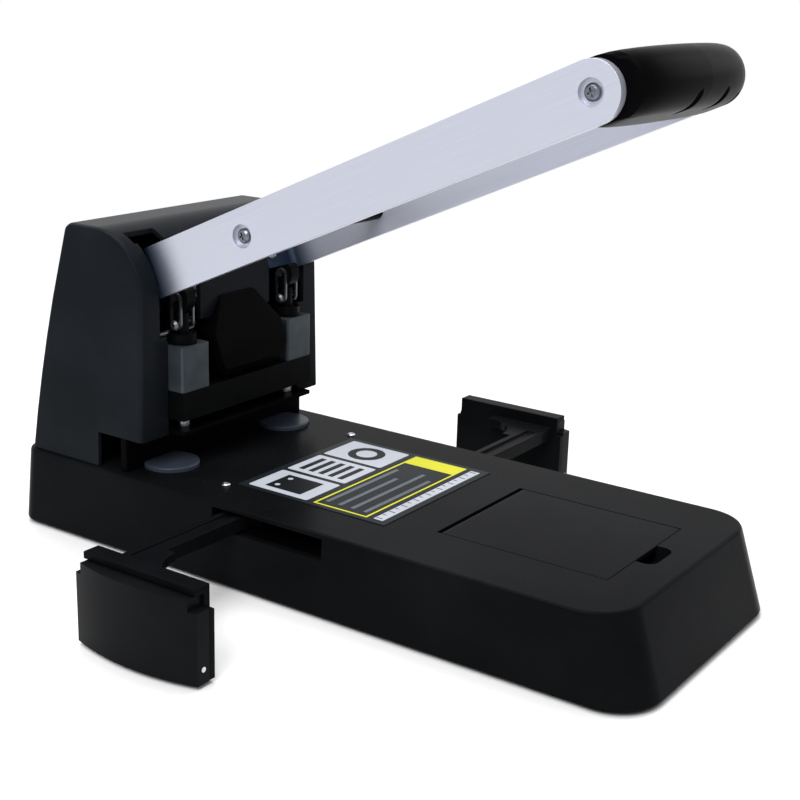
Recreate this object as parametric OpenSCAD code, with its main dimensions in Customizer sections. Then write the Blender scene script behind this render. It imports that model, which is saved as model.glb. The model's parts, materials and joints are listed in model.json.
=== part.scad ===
// Heavy-duty two-hole punch with a long lever, cutting pads and sliding paper guides
// Millimetres. The grip end faces -Y, the head stands at the +Y end and +Z is up.
// The origin is on the floor under the middle of the base.

/* [Base] */
// Length of the base along Y
base_length = 357; // [340:1:370]
// Width of the base at the floor
base_width = 146; // [142:1:156]
// Height of the deck above the underside of the shell
base_height = 40; // [38:0.5:46]
// How far the front face leans back over its height
front_lean = 12.4; // [0:0.1:16]
// How far each side leans in over its height
side_draft = 1.2; // [0:0.1:2]
// How far the rear face leans in over its height
rear_lean = 3.2; // [0:0.1:4]
// Radius of the front corners
front_corner = 22; // [12:0.5:24]
// Radius of the rear corners
rear_corner = 10; // [6:0.5:12]
// Radius of the edges around the deck and the underside
edge_round = 1.6; // [0.8:0.1:2.4]
// Thickness of the deck
deck_thickness = 3.5; // [3:0.1:4.5]
// Height of the rubber feet below the shell
foot_height = 1.5; // [1.2:0.1:4]

/* [Compartment] */
// Width of the lid
lid_width = 73; // [60:1:76]
// Distance of the lid's front edge from the front of the base
lid_front = 34.9; // [31:0.1:40]
// Length of the lid along Y
lid_length = 84.6; // [70:0.2:92]
// Thickness of the lid
lid_thickness = 2.5; // [2:0.1:3]
// Depth of the compartment below the deck
well_depth = 28; // [20:1:30]

/* [Head] */
// Distance from the head's front to the rear of the base
head_depth = 86.5; // [82:0.5:88]
// Width of the head where it meets the deck
head_width = 139.5; // [134:0.5:140]
// Height of the top of the head above the underside of the shell
head_top = 159; // [154:0.5:165]
// Radius of the round front of the head
head_round = 34; // [30:0.5:36]
// Wall of the head cover
head_wall = 2.6; // [2:0.1:3]
// Half width of the opening between the two front columns
bay_outer = 50.2; // [50:0.1:52]
// Half width of the centre band between the two bays
bay_inner = 26.5; // [26:0.1:27.5]

/* [Punching] */
// Distance between the two holes
hole_spacing = 80; // [70:1:90]
// Radius of a punched hole
punch_radius = 3; // [2.5:0.1:3.2]
// Clear height of the paper throat
throat_height = 18.3; // [16:0.1:19]
// Radius of a plunger
plunger_radius = 7; // [6.5:0.1:7.2]
// Radius of a cutting pad
pad_radius = 14; // [11:0.5:14.5]
// Height of a pad's face above the deck
pad_rise = 2.2; // [1:0.1:2.4]

/* [Lever] */
// Distance of the pivot behind the head's front
pivot_setback = 34; // [33:0.1:35]
// Height of the pivot above the underside of the shell
pivot_height = 116.5; // [116:0.1:117.5]
// Rise of the arms at rest, in degrees
arm_angle = 23.8; // [22:0.1:26]
// Swing of the lever from rest to the end of a stroke, in degrees
lever_swing = 30; // [28:0.5:30]
// Distance from the pivot to the press lobes
press_reach = 35; // [34:0.1:35.5]
// Distance between the outer faces of the arms
arm_span = 108; // [108:0.5:112]
// Thickness of an arm
arm_thickness = 4.4; // [4:0.1:5]
// Width of an arm
arm_width = 25; // [24:0.5:26]
// Distance from the pivot to the tie tube
tie_reach = 96.7; // [90:0.1:120]
// Distance from the pivot to the grip
grip_reach = 284; // [250:1:310]
// Height of the arms' middle line above the pivot
arm_offset = 8.8; // [8.5:0.1:9.5]
// Radius of the grip in its middle
grip_radius = 13.2; // [12.5:0.1:15]

/* [Paper guides] */
// Distance between the guide plates at the shown setting
guide_span = 289; // [285:1:300]
// Distance of the pinion from the front of the base
pinion_row = 190.5; // [186:0.5:192]
// Length of a guide plate
plate_length = 69; // [60:0.5:72]
// Height of a guide plate's top above the deck
plate_rise = 1.8; // [1:0.1:6]
// Tooth module of the pinion and the racks
tooth_module = 2; // [1.8:0.1:2.1]
// Number of teeth on the pinion, an even number
tooth_count = 14; // [12:2:14]

/* [Fits] */
// Clearance of a running fit, on the radius
run_fit = 0.06; // [0.03:0.01:0.1]
// Gap around a lid or a sliding piece
slide_gap = 0.4; // [0.3:0.05:0.6]
// Clearance of a screw in its hole, on the radius
screw_fit = 0.05; // [0.03:0.01:0.1]

/* [Hidden] */
$fn = 64;
hull_sides = 32;
layer = 0.01;
beyond = 5;
half_base = base_width / 2;
deck_under = base_height - deck_thickness;
head_front = base_length - head_depth;
pivot_row = head_front + pivot_setback;

// Hollow and underside of the base
cavity_half = half_base - 4.8;
cavity_front = 27.5;
cavity_rear = base_length - rear_lean - 4.3;
plate_low = 0.5;
floor_plate = 2.5;
boss_radius = 4.5;
boss_spots = [[62, 47.5], [62, pinion_row - 51], [62, pinion_row + 43], [36, cavity_rear - 4.5]];
base_screw_radius = 1.5;
base_screw_depth = 10;
base_screw_head = 2.8;
base_screw_rise = 1.2;
foot_radius = 9;
foot_spots = [[48, 39.5], [56, base_length - 26]];
shell_black = "#1d1e20";

// Compartment and its lid
half_lid = lid_width / 2;
lid_rear = lid_front + lid_length;
lid_roll = 3;
lid_axis_row = lid_rear - lid_roll;
lid_axis_height = base_height - lid_roll;
lid_pin_radius = 1.2;
well_wall = 2.7;
well_floor = base_height - well_depth;
well_ledge = 2.5;
scoop_half = 11;
scoop_front = 25.8;
scoop_corner = 5;
scoop_floor = base_height - 7;

// Printed panel and the two screws on the deck
panel_half = 46;
panel_front = 142.5;
panel_rear = 229.5;
panel_thickness = 0.3;
deck_screw = [50.6, pinion_row + 42.6];
deck_screw_radius = 1.3;
deck_screw_length = 10;
deck_screw_head = 2.2;
deck_screw_rise = 1.1;

// Head cover
head_tilt = 2.2;
head_edge = 2.6;
head_lean = 24.5 / 116.5;
head_rear = base_length - rear_lean - 4.8;
head_bulge = 2.2;
head_rear_round = 5;
head_foot = base_height - 6;
side_throat_rear = head_front + 30;
side_throat_height = throat_height - 0.8;
opening_depth = 16;
opening_top = pivot_height - 4.5;
slot_side = arm_span / 2 + 1;
slot_foot = pivot_height - 9;
window_front = head_front + 14.1;
window_rear = head_front + 21.5;
window_half = [37, 57];
head_screw = [48, head_front + 61];
head_screw_radius = 1.5;
head_screw_head = 3.2;
head_screw_rise = 2;
head_boss_radius = 4.5;
head_boss_height = 14;
head_rib = 3;

// Steel frame inside the head
frame_inner = 56;
frame_thickness = 4;
frame_outer = frame_inner + frame_thickness;
frame_gap = 0.4;
anvil_height = deck_under;
anvil_front = head_front - 13;
anvil_rear = head_front + 31;
anvil_low = anvil_height - 16.5;
throat_top = base_height + throat_height;
throat_rear = pivot_row;
throat_plate_thickness = 2.2;
throat_plate_top = throat_top + throat_plate_thickness;
bar_low = throat_plate_top + 5.5;
block_low = bar_low + 14.5;
block_high = pivot_height - 13.5;
block_half = 9.8;
block_front = head_front - 9.4;
block_rear = head_front + 7;
block_round = 1.5;
bar_rear = block_rear + 12;
bar_high = block_high - 3;
shelf_half = bay_outer - 0.5;
stop_row = head_front + 12;
stop_depth = 4;
stop_half = head_width / 2 - 2;
frame_screw_radius = 2;
frame_screw_spots = [[head_front - 1, anvil_low + 8], [head_front + 23, anvil_low + 8],
    [head_front + 13, bar_low + 6], [head_front + 13, bar_high - 7]];
frame_screw_length = 12;
frame_screw_head = 3.6;
frame_screw_rise = 2.2;
frame_front = head_front - 11;
frame_rear = head_front + 66;
frame_ear = 14.5;
block_screw_radius = 1.5;
block_screw_height = block_low + 6;
block_screw_step = 7.6;
block_screw_tip = block_rear - 2.8;
block_screw_head = 2.8;
block_screw_rise = 1.8;
tie_rod_spots = [[head_front + 55, anvil_low + 2], [head_front + 48, bar_high - 8]];
tie_rod_radius = 5;
tie_thread_radius = 3;
tie_nut_radius = 5.2;
tie_nut_height = 2.2;
nose_half = bay_inner - 1;
nose_low_half = 20;
nose_top_half = 12;
nose_reach = 17;
nose_front = block_rear - 20.5;
nose_brow = block_rear - 8.5;

// Pivot
shaft_radius = 6;
shaft_half = 62.2;
clip_start = frame_outer + 0.3;
clip_thickness = 1.1;
clip_groove_radius = 5;
clip_radius = 9;
hub_half = 46;
hub_inner = 14.5;
hub_radius = 11;
spacer_radius = 9;

// Stroke of the punches, from the drop of the lobes
half_swing = lever_swing / 2;
stroke = 2 * press_reach * sin(half_swing);
lobe_angle = arm_angle - half_swing;
lobe_along = press_reach * cos(lobe_angle);
lobe_across = -press_reach * sin(lobe_angle);
lobe_radius = 7;
lobe_height = pivot_height + press_reach * sin(half_swing);
press_gap = 0.4;
half_holes = hole_spacing / 2;
punch_row = pivot_row - press_reach * (1 + cos(half_swing)) / 2;
pad_top = base_height + pad_rise;
punch_tip = pad_top + stroke + 0.3;
punch_bore_radius = punch_radius * 0.73;
punch_seat = block_high - 7;
plunger_low = block_low + 2;
plunger_shoulder = block_high + 5;
plunger_top = lobe_height - lobe_radius - press_gap;
plunger_neck_radius = 3.2;
pin_radius = 1.4;
cross_pin_height = plunger_shoulder + 4.5;
dome_radius = 2.6;
wire_radius = 0.6;
link_offset = 4.3;
dome_start = link_offset + wire_radius + 0.1;
dome_height = plunger_radius - 0.1 - dome_start;
link_half = 3;
link_low = cross_pin_height - pin_radius - 0.05 + link_half - wire_radius;
link_high = lobe_height - 0.4;
pad_shift = [4, 4.9];

// Arms, grip and tie
half_arm_span = arm_span / 2;
arm_inner = half_arm_span - arm_thickness;
arm_rear = 30;
arm_bend = 8;
arm_low = arm_offset - arm_width / 2;
arm_high = arm_offset + arm_width / 2;
flange_inner = 29;
flange_notch_half = 48;
flange_notch_top = -1.2;
flange_screw_half = 33.5;
flange_screw_rows = [arm_offset - 2.7, arm_offset + 7];
flange_screw_radius = 1.5;
flange_screw_depth = 10;
flange_screw_head = 3;
flange_screw_rise = 2;
hub_block_inner = 28.5;
hub_block_low = 2;
neck_half = 3.2;
arm_screw_radius = 2;
arm_screw_head = 3.5;
arm_screw_rise = 2.2;
arm_screw_depth = 12;
recess_radius = 5.5;
recess_depth = 2.4;
tie_radius = 4.6;
grip_rod_radius = 6;
grip_half = arm_inner - 0.2;
grip_ahead = 12.5;
grip_end_ahead = 3;
grip_end_radius = arm_width / 2 + 0.2;
grip_drop = 1.2;
grip_grooves = [-8, 20, 40];
groove_radius = 2.8;
spring_half = 13.5;
spring_radius = 10;
spring_bore = 7;

// Paper guides
pitch_radius = tooth_module * tooth_count / 2;
tooth_pitch = 3.14159265 * tooth_module;
rack_root = pitch_radius + 1.25 * tooth_module;
arm_bar_width = 12;
guide_high = deck_under - 1;
guide_low = guide_high - 7;
rack_end = 22;
rack_start = -66;
half_guide = guide_span / 2;
plate_thickness = 3.5;
plate_low_edge = 0.4;
plate_step = 2.5;
plate_top = base_height + plate_rise;
plate_shoulder = plate_top - 10.2;
half_plate = plate_length / 2;
lip_depth = 8.5;
lip_height = 3.4;
strip_depth = 6.5;
cover_bow_radius = 115;
cover_depth = 12.5;
cover_wall = 2.6;
cover_pin_height = 7;
cover_pin_inset = 3.8;
cover_pin_radius = 1.2;
slot_low = guide_low - 1.2;
slot_high = base_height - 2.3;
slot_half = half_plate - 2;
tray_low = guide_low - 3.2;
tray_top = guide_low - 0.2;
tray_half = 66;
tray_reach = 31;
tray_wall = 2;
tray_post = [54, tray_reach - 4];
tray_post_radius = 4;
pinion_pin_radius = 3;
pinion_pin_head = 5;
pinion_pin_rise = 2.5;

// From the base's own frame, front edge at Y 0 and underside at Z 0, to the part's frame
module in_place() { translate([0, -base_length / 2, foot_height]) children(); }

// The lever's own frame: -Y runs along the arms, Z across them, with the origin on the pivot
module on_lever() {
    in_place() translate([0, pivot_row, pivot_height]) rotate([-arm_angle, 0, 0]) children();
}

// A piece modelled on the right, kept there or mirrored to the left
module on_side(side) {
    if (side > 0) children();
    else mirror([1, 0, 0]) children();
}

module both_sides() {
    children();
    mirror([1, 0, 0]) children();
}

// A guide piece modelled on the left, kept there or turned half way round the pinion
module on_guide(side) {
    if (side < 0) in_place() translate([0, pinion_row, 0]) children();
    else in_place() translate([0, pinion_row, 0]) rotate([0, 0, 180]) children();
}

// An outline in Y and Z, given thickness along X
module along_x(start, length) {
    translate([start, 0, 0]) rotate([90, 0, 90]) linear_extrude(length) children();
}

// A rod along X
module rod_x(start, length, radius) {
    translate([start, 0, 0]) rotate([0, 90, 0]) cylinder(r = radius, h = length);
}

module box(x0, x1, y0, y1, z0, z1) { translate([x0, y0, z0]) cube([x1 - x0, y1 - y0, z1 - z0]); }

// A pan-head screw along Z with its head above Z 0 and a cross in the head
module pan_screw(head, height, radius, length) {
    difference() {
        union() {
            cylinder(r = head, h = height * 0.5);
            translate([0, 0, height * 0.5]) cylinder(r1 = head, r2 = head * 0.7, h = height * 0.5);
            translate([0, 0, -length]) cylinder(r = radius, h = length);
        }
        for (turn = [0, 90]) rotate([0, 0, turn])
            translate([-head * 0.55, -head * 0.11, height * 0.45]) cube([head * 1.1, head * 0.22, height]);
    }
}

// Four corner discs of the base outline at one height
module base_ring(height, inset) {
    up = max(0, height - edge_round) / (base_height - edge_round);
    half = half_base - side_draft * up;
    for (side = [-1, 1]) {
        translate([side * (half - front_corner), front_lean * up + front_corner, height])
            cylinder(r = front_corner - inset, h = layer, $fn = hull_sides * 2);
        translate([side * (half - rear_corner), base_length - rear_lean * up - rear_corner, height])
            cylinder(r = rear_corner - inset, h = layer, $fn = hull_sides);
    }
}

module base_form() {
    eased = edge_round * (1 - cos(45));
    hull() {
        base_ring(0, edge_round);
        base_ring(eased, eased);
        base_ring(edge_round, 0);
        base_ring(base_height - edge_round, 0);
        base_ring(base_height - eased, eased);
        base_ring(base_height - layer, edge_round);
    }
}

module finger_scoop(depth) {
    translate([0, 0, depth]) linear_extrude(base_height - depth + beyond) union() {
        translate([-scoop_half, scoop_front + scoop_corner])
            square([2 * scoop_half, lid_front + well_ledge - scoop_front - scoop_corner]);
        translate([scoop_corner - scoop_half, scoop_front])
            square([2 * (scoop_half - scoop_corner), 2 * scoop_corner]);
        for (side = [-1, 1]) translate([side * (scoop_half - scoop_corner), scoop_front + scoop_corner])
            circle(r = scoop_corner);
    }
}

module base_walls() {
    difference() {
        base_form();
        box(-cavity_half, cavity_half, cavity_front, cavity_rear, -1, deck_under);
    }
    scoop_block();
    both_sides() for (spot = boss_spots)
        translate([spot.x, spot.y, floor_plate]) cylinder(r = boss_radius, h = deck_under - floor_plate + 1);
}

module scoop_block() {
    box(-scoop_half - well_wall, scoop_half + well_wall, scoop_front - well_wall, lid_front,
        scoop_floor - well_wall, deck_under + 1);
}

module compartment_hollow() {
    seat = half_lid + slide_gap;
    roll = lid_roll + slide_gap;
    box(-seat, seat, lid_front - slide_gap, lid_rear + slide_gap, base_height - lid_thickness,
        base_height + beyond);
    box(-seat, seat, lid_axis_row - roll, lid_axis_row + roll, lid_axis_height - roll, base_height + beyond);
    box(-half_lid + well_ledge, half_lid - well_ledge, lid_front + well_ledge, lid_axis_row, well_floor,
        base_height);
    translate([0, lid_axis_row, lid_axis_height])
        rod_x(-seat - well_wall * 0.8, 2 * (seat + well_wall * 0.8), lid_pin_radius + 0.02);
    finger_scoop(scoop_floor);
}

module base_shell() {
    color(shell_black) in_place() difference() {
        base_walls();
        compartment_hollow();
        both_sides() {
            box(cavity_half - 2, half_base + beyond, pinion_row - slot_half, pinion_row + slot_half,
                slot_low, slot_high);
            translate([half_holes + pad_shift.x, punch_row + pad_shift.y, deck_under - 1])
                cylinder(r = pad_radius + slide_gap, h = deck_thickness + beyond);
            box(frame_inner - frame_gap, frame_outer + frame_gap, throat_rear - frame_gap,
                frame_rear + frame_gap, deck_under - 1, base_height + 1);
            translate([head_screw.x, head_screw.y, deck_under - 1])
                cylinder(r = head_screw_radius + screw_fit, h = deck_thickness + 2);
            translate([deck_screw.x, deck_screw.y, deck_under - 1])
                cylinder(r = deck_screw_radius + screw_fit, h = deck_thickness + 2);
            for (spot = boss_spots) translate([spot.x, spot.y, floor_plate - 1])
                cylinder(r = base_screw_radius + screw_fit, h = base_screw_depth + 1);
        }
    }
}

// A tray under the deck that stands on the bottom plate
module compartment_tray() {
    half = half_lid + well_wall + slide_gap;
    tray_floor = well_floor - well_wall;
    color("#303236") in_place() {
        difference() {
            box(-half, half, lid_front - well_wall, lid_rear + well_wall + slide_gap, tray_floor, deck_under);
            compartment_hollow();
            scoop_block();
        }
        both_sides() for (row = [lid_front + 14, lid_axis_row - 14])
            translate([half_lid - 12, row, floor_plate])
                cylinder(r = tray_post_radius, h = tray_floor - floor_plate + 0.5);
    }
}

module bottom_plate() {
    color("#3a3c40") in_place() difference() {
        box(-cavity_half + slide_gap, cavity_half - slide_gap, cavity_front + slide_gap,
            cavity_rear - slide_gap, plate_low, floor_plate);
        both_sides() for (spot = boss_spots) translate([spot.x, spot.y, plate_low - 1])
            cylinder(r = base_screw_radius + screw_fit, h = floor_plate + 1);
    }
}

module bottom_screws() {
    color("#9a9ca0") in_place() both_sides() for (spot = boss_spots)
        translate([spot.x, spot.y, plate_low]) rotate([180, 0, 0])
            pan_screw(base_screw_head, base_screw_rise, base_screw_radius, base_screw_depth);
}

module rubber_feet() {
    color("#111214") in_place() both_sides() for (spot = foot_spots)
        translate([spot.x, spot.y, -foot_height]) {
            cylinder(r1 = foot_radius - 0.6, r2 = foot_radius, h = 0.6);
            translate([0, 0, 0.6]) cylinder(r = foot_radius, h = foot_height + plate_low - 0.6);
        }
}

module top_panel() {
    color("#3f4448") in_place()
        box(-panel_half, panel_half, panel_front, panel_rear, base_height, base_height + panel_thickness);
}

module deck_screws() {
    color("#b9bbbf") in_place() both_sides()
        translate([deck_screw.x, deck_screw.y, base_height])
            pan_screw(deck_screw_head, deck_screw_rise, deck_screw_radius, deck_screw_length);
}

module compartment_lid() {
    color(shell_black) in_place() difference() {
        union() {
            box(-half_lid, half_lid, lid_front, lid_axis_row, base_height - lid_thickness, base_height);
            translate([0, lid_axis_row, lid_axis_height]) rod_x(-half_lid, lid_width, lid_roll);
        }
        translate([0, lid_axis_row, lid_axis_height])
            rod_x(-half_lid - 1, lid_width + 2, lid_pin_radius + run_fit);
    }
}

module lid_pin() {
    reach = half_lid + slide_gap + well_wall * 0.75;
    color("#a5a7ab") in_place() translate([0, lid_axis_row, lid_axis_height])
        rod_x(-reach, 2 * reach, lid_pin_radius);
}

// Round corners of the head's side outline, one thin slice tilted with the side
module head_slice(side, step_in, inset) {
    rear_centre = head_top - head_rear_round;
    function half_at(height) = head_width / 2 - step_in - (height - base_height) * tan(head_tilt);
    function share(height) = (height - base_height) / (rear_centre - base_height);
    function rear_at(height) = head_rear - (height - base_height) * head_lean
        + 4 * head_bulge * share(height) * (1 - share(height));
    spots = [
        [rear_at(rear_centre) - head_rear_round * sqrt(1 + head_lean * head_lean), rear_centre,
            head_rear_round - inset],
        [head_front + inset + layer, head_foot, layer],
        [rear_at(head_foot) - inset - layer, head_foot, layer],
        for (height = [base_height + 20 : 20 : rear_centre - 20])
            [rear_at(height) - inset - layer, height, layer]];
    module tilted(row, height) {
        translate([side * half_at(height), row, height]) rotate([0, side * (90 - head_tilt), 0]) children();
    }
    tilted(head_front + head_round, head_top - head_round) intersection() {
        cylinder(r = head_round - inset, h = layer, $fn = hull_sides * 3);
        translate([-head_round, -head_round, -1]) cube([2 * head_round, head_round, 2]);
    }
    for (spot = spots) tilted(spot.x, spot.y) cylinder(r = spot.z, h = layer, $fn = hull_sides);
}

module head_form() {
    eased = head_edge * (1 - cos(45));
    hull() for (side = [-1, 1]) {
        head_slice(side, layer, head_edge);
        head_slice(side, eased, eased);
        head_slice(side, head_edge, 0);
    }
}

module head_hollow() {
    hull() for (side = [-1, 1]) head_slice(side, head_wall, head_wall);
}

// The opening for an arm and the hub in the round front, and the window behind them
module bay_cut() {
    box(bay_inner, slot_side, head_front - 10, window_front, slot_foot, head_top + 1);
    box(window_half[0], window_half[1], window_front - 0.1, window_rear, head_top - head_round / 2,
        head_top + 1);
}

module head_cover() {
    color(shell_black) in_place() difference() {
        union() {
            difference() {
                intersection() {
                    head_form();
                    box(-head_width, head_width, 0, base_length, base_height, head_top + 1);
                }
                head_hollow();
            }
            both_sides() {
                translate([head_screw.x, head_screw.y, base_height])
                    cylinder(r = head_boss_radius, h = head_boss_height);
                box(head_screw.x - head_rib / 2, head_screw.x + head_rib / 2, head_screw.y, head_rear - 2.2,
                    base_height, base_height + 8);
            }
        }
        box(-bay_outer, bay_outer, head_front - 10, head_front + opening_depth, base_height - 1, opening_top);
        both_sides() bay_cut();
        box(-head_width, head_width, head_front - 10, side_throat_rear, base_height - 1,
            base_height + side_throat_height);
        both_sides() translate([head_screw.x, head_screw.y, base_height - 1])
            cylinder(r = head_screw_radius + screw_fit, h = head_boss_height - 2);
    }
}

module head_screws() {
    color("#9a9ca0") in_place() both_sides() translate([head_screw.x, head_screw.y, deck_under])
        rotate([180, 0, 0])
            pan_screw(head_screw_head, head_screw_rise, head_screw_radius,
                deck_thickness + head_boss_height - 4);
}

module frame_outline() {
    upper = throat_plate_top + 0.2;
    difference() {
        union() {
            polygon([[frame_front, floor_plate], [frame_rear, floor_plate], [frame_rear, throat_top],
                [frame_rear - 8.5, bar_high - 2], [frame_rear - 16.5, pivot_height + frame_ear],
                [pivot_row - 3, pivot_height + frame_ear], [bar_rear + 1, pivot_height + 1.5],
                [bar_rear + 1, block_high + 1], [block_rear + 0.2, block_high + 1], [block_rear + 0.2, upper],
                [throat_rear, upper], [throat_rear, deck_under], [frame_front, deck_under]]);
            translate([pivot_row, pivot_height]) circle(r = frame_ear - 0.5);
        }
        translate([pivot_row, pivot_height]) circle(r = shaft_radius + 0.02);
        for (spot = frame_screw_spots) translate(spot) circle(r = frame_screw_radius + screw_fit);
        for (spot = tie_rod_spots) translate(spot) circle(r = tie_thread_radius + screw_fit);
    }
}

module frame(side) {
    color("#2a2c30") in_place() on_side(side) along_x(frame_inner, frame_thickness) frame_outline();
}

module left_frame() { frame(-1); }

module right_frame() { frame(1); }

// Holes for the screws that pass through a side plate into a cross piece
module side_screw_holes() {
    both_sides() for (spot = frame_screw_spots) translate([0, spot.x, spot.y])
        rod_x(frame_inner - frame_screw_length, frame_screw_length + 1, frame_screw_radius + screw_fit);
}

module anvil_block() {
    color("#54575c") in_place() difference() {
        box(-frame_inner, frame_inner, anvil_front, anvil_rear, anvil_low, anvil_height);
        side_screw_holes();
    }
}

module guide_bar() {
    color("#26282b") in_place() difference() {
        union() {
            box(-frame_inner, frame_inner, block_rear, bar_rear, bar_low, bar_high);
            box(-shelf_half, shelf_half, block_front, block_rear, bar_low, block_low);
        }
        side_screw_holes();
        both_sides() translate([half_holes, punch_row, bar_low - 1])
            cylinder(r = plunger_radius + slide_gap, h = block_low - bar_low + 2);
        both_sides() for (step = [-1, 1])
            translate([half_holes + step * block_screw_step, bar_rear + 1, block_screw_height])
                rotate([90, 0, 0])
                    cylinder(r = block_screw_radius + screw_fit, h = bar_rear - block_rear + 2);
    }
}

module throat_plate() {
    color("#1a1b1d") in_place() difference() {
        union() {
            box(-shelf_half, shelf_half, block_front, block_rear, throat_top, throat_plate_top);
            box(-frame_inner, frame_inner, block_rear, throat_rear - 1, throat_top, throat_plate_top);
            both_sides() box(18, 27, block_rear, bar_rear, throat_top, bar_low);
        }
        both_sides() translate([half_holes, punch_row, throat_top - 1])
            cylinder(r = punch_radius + slide_gap, h = throat_plate_thickness + 2);
    }
}

module paper_stop() {
    color("#2e3034") in_place() difference() {
        box(-stop_half, stop_half, stop_row, stop_row + stop_depth, base_height,
            base_height + side_throat_height);
        both_sides() translate([half_holes + pad_shift.x, punch_row + pad_shift.y, base_height - 1])
            cylinder(r = pad_radius + slide_gap, h = pad_rise + slide_gap + 1);
    }
}

module centre_nose() {
    color("#202226") in_place() intersection() {
        along_x(-nose_half, 2 * nose_half) polygon([[block_rear, block_low + 3],
            [block_rear - nose_reach, block_low + 3], [nose_front, block_low + 7],
            [nose_front + 1, block_high - 6], [nose_brow, block_high + 19], [nose_brow + 1, block_high + 19],
            [nose_brow + 1, block_high + 8], [block_rear, block_high + 8]]);
        translate([0, block_rear, 0]) rotate([90, 0, 0]) linear_extrude(2 * nose_reach)
            polygon([[-nose_low_half, block_low + 2], [nose_low_half, block_low + 2],
                [nose_half, block_low + 13], [nose_half, block_high + 2],
                [nose_top_half, block_high + 20], [-nose_top_half, block_high + 20],
                [-nose_half, block_high + 2], [-nose_half, block_low + 13]]);
    }
}

module frame_screws() {
    color("#9a9ca0") in_place() both_sides() for (spot = frame_screw_spots)
        translate([frame_outer, spot.x, spot.y]) rotate([0, 90, 0])
            pan_screw(frame_screw_head, frame_screw_rise, frame_screw_radius,
                frame_thickness + frame_screw_length - 1);
}

module tie_rods() {
    color("#77797e") in_place() for (spot = tie_rod_spots) translate([0, spot.x, spot.y]) {
        rod_x(-frame_inner, 2 * frame_inner, tie_rod_radius);
        rod_x(-frame_outer - 2.4, 2 * frame_outer + 4.8, tie_thread_radius);
    }
}

module tie_nuts() {
    color("#9a9ca0") in_place() both_sides() for (spot = tie_rod_spots)
        translate([frame_outer, spot.x, spot.y]) rotate([0, 90, 0]) difference() {
            cylinder(r = tie_nut_radius, h = tie_nut_height, $fn = 6);
            translate([0, 0, -1]) cylinder(r = tie_thread_radius + 0.02, h = tie_nut_height + 2);
        }
}

module block_outline() {
    difference() {
        translate([-block_half, block_front]) square([2 * block_half, block_rear - block_front]);
        for (side = [-1, 1]) translate([side * block_half, block_front]) difference() {
            square(2 * block_round, center = true);
            translate([-side * block_round, block_round]) circle(r = block_round);
        }
    }
}

module guide_block(side) {
    color("#6d7278") in_place() on_side(side) translate([half_holes, 0, 0]) difference() {
        translate([0, 0, block_low]) linear_extrude(block_high - block_low) block_outline();
        translate([0, punch_row, block_low - 1])
            cylinder(r = plunger_radius + run_fit, h = block_high - block_low + 2);
        box(-neck_half - slide_gap, neck_half + slide_gap, punch_row, block_rear + 1, block_high - 6,
            block_high + 1);
        for (step = [-1, 1])
            translate([step * block_screw_step, block_rear + 1, block_screw_height]) rotate([90, 0, 0])
                cylinder(r = block_screw_radius + screw_fit, h = block_rear - block_screw_tip + 1.1);
    }
}

module left_block() { guide_block(-1); }

module right_block() { guide_block(1); }

module block_screws() {
    color("#9a9ca0") in_place() both_sides() for (step = [-1, 1])
        translate([half_holes + step * block_screw_step, bar_rear, block_screw_height]) rotate([-90, 0, 0])
            pan_screw(block_screw_head, block_screw_rise, block_screw_radius, bar_rear - block_screw_tip);
}

module pivot_shaft() {
    color("#b4b6ba") in_place() translate([0, pivot_row, pivot_height]) difference() {
        rod_x(-shaft_half, 2 * shaft_half, shaft_radius);
        both_sides() difference() {
            rod_x(clip_start, clip_thickness + 0.1, shaft_radius + 1);
            rod_x(clip_start - 1, clip_thickness + 2, clip_groove_radius);
        }
    }
}

module pivot_spacers() {
    color("#77797e") in_place() translate([0, pivot_row, pivot_height]) both_sides() difference() {
        rod_x(hub_half + slide_gap, frame_inner - hub_half - slide_gap, spacer_radius);
        rod_x(hub_half, frame_inner - hub_half + 1, shaft_radius + screw_fit);
    }
}

module pivot_clips() {
    color("#c4c6ca") in_place() translate([0, pivot_row, pivot_height]) both_sides() difference() {
        rod_x(clip_start, clip_thickness, clip_radius);
        rod_x(clip_start - 1, clip_thickness + 2, clip_groove_radius + 0.02);
        box(clip_start - 1, clip_start + clip_thickness + 1, -1.5, 1.5, 0, clip_radius + 1);
    }
}

// One press lobe and its neck, across the arms, with -Y along them
module lobe_outline() {
    difference() {
        union() {
            polygon([[0, 3], [0, -9], [-22, -7], [-lobe_along + 4.6, lobe_across - 5.3],
                [-lobe_along, lobe_across], [-lobe_along - 1.4, 3]]);
            translate([-lobe_along, lobe_across]) circle(r = lobe_radius);
        }
        translate([-arm_rear - 20, flange_notch_top - 0.5]) square([20.3, 40]);
    }
}

module lever_hub() {
    color("#232528") on_lever() difference() {
        union() {
            both_sides() {
                rod_x(hub_inner, hub_half - hub_inner, hub_radius);
                along_x(half_holes - neck_half, 2 * neck_half) lobe_outline();
                along_x(hub_block_inner, hub_half - hub_block_inner) polygon([[4, 10.2], [-28, arm_high],
                    [-arm_rear, arm_high], [-arm_rear, hub_block_low], [0, hub_block_low]]);
            }
            box(-hub_half, hub_half, -6, 4, spring_radius + 0.8, spring_radius + 4);
        }
        rod_x(-hub_half - 1, 2 * hub_half + 2, shaft_radius + run_fit);
        both_sides() {
            translate([0, -lobe_along, lobe_across])
                rod_x(half_holes - neck_half - 1, 2 * neck_half + 2, pin_radius + 0.02);
            for (row = flange_screw_rows)
                translate([flange_screw_half, -arm_rear - 1, row]) rotate([-90, 0, 0])
                    cylinder(r = flange_screw_radius + screw_fit, h = flange_screw_depth + 1);
        }
    }
}

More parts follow.
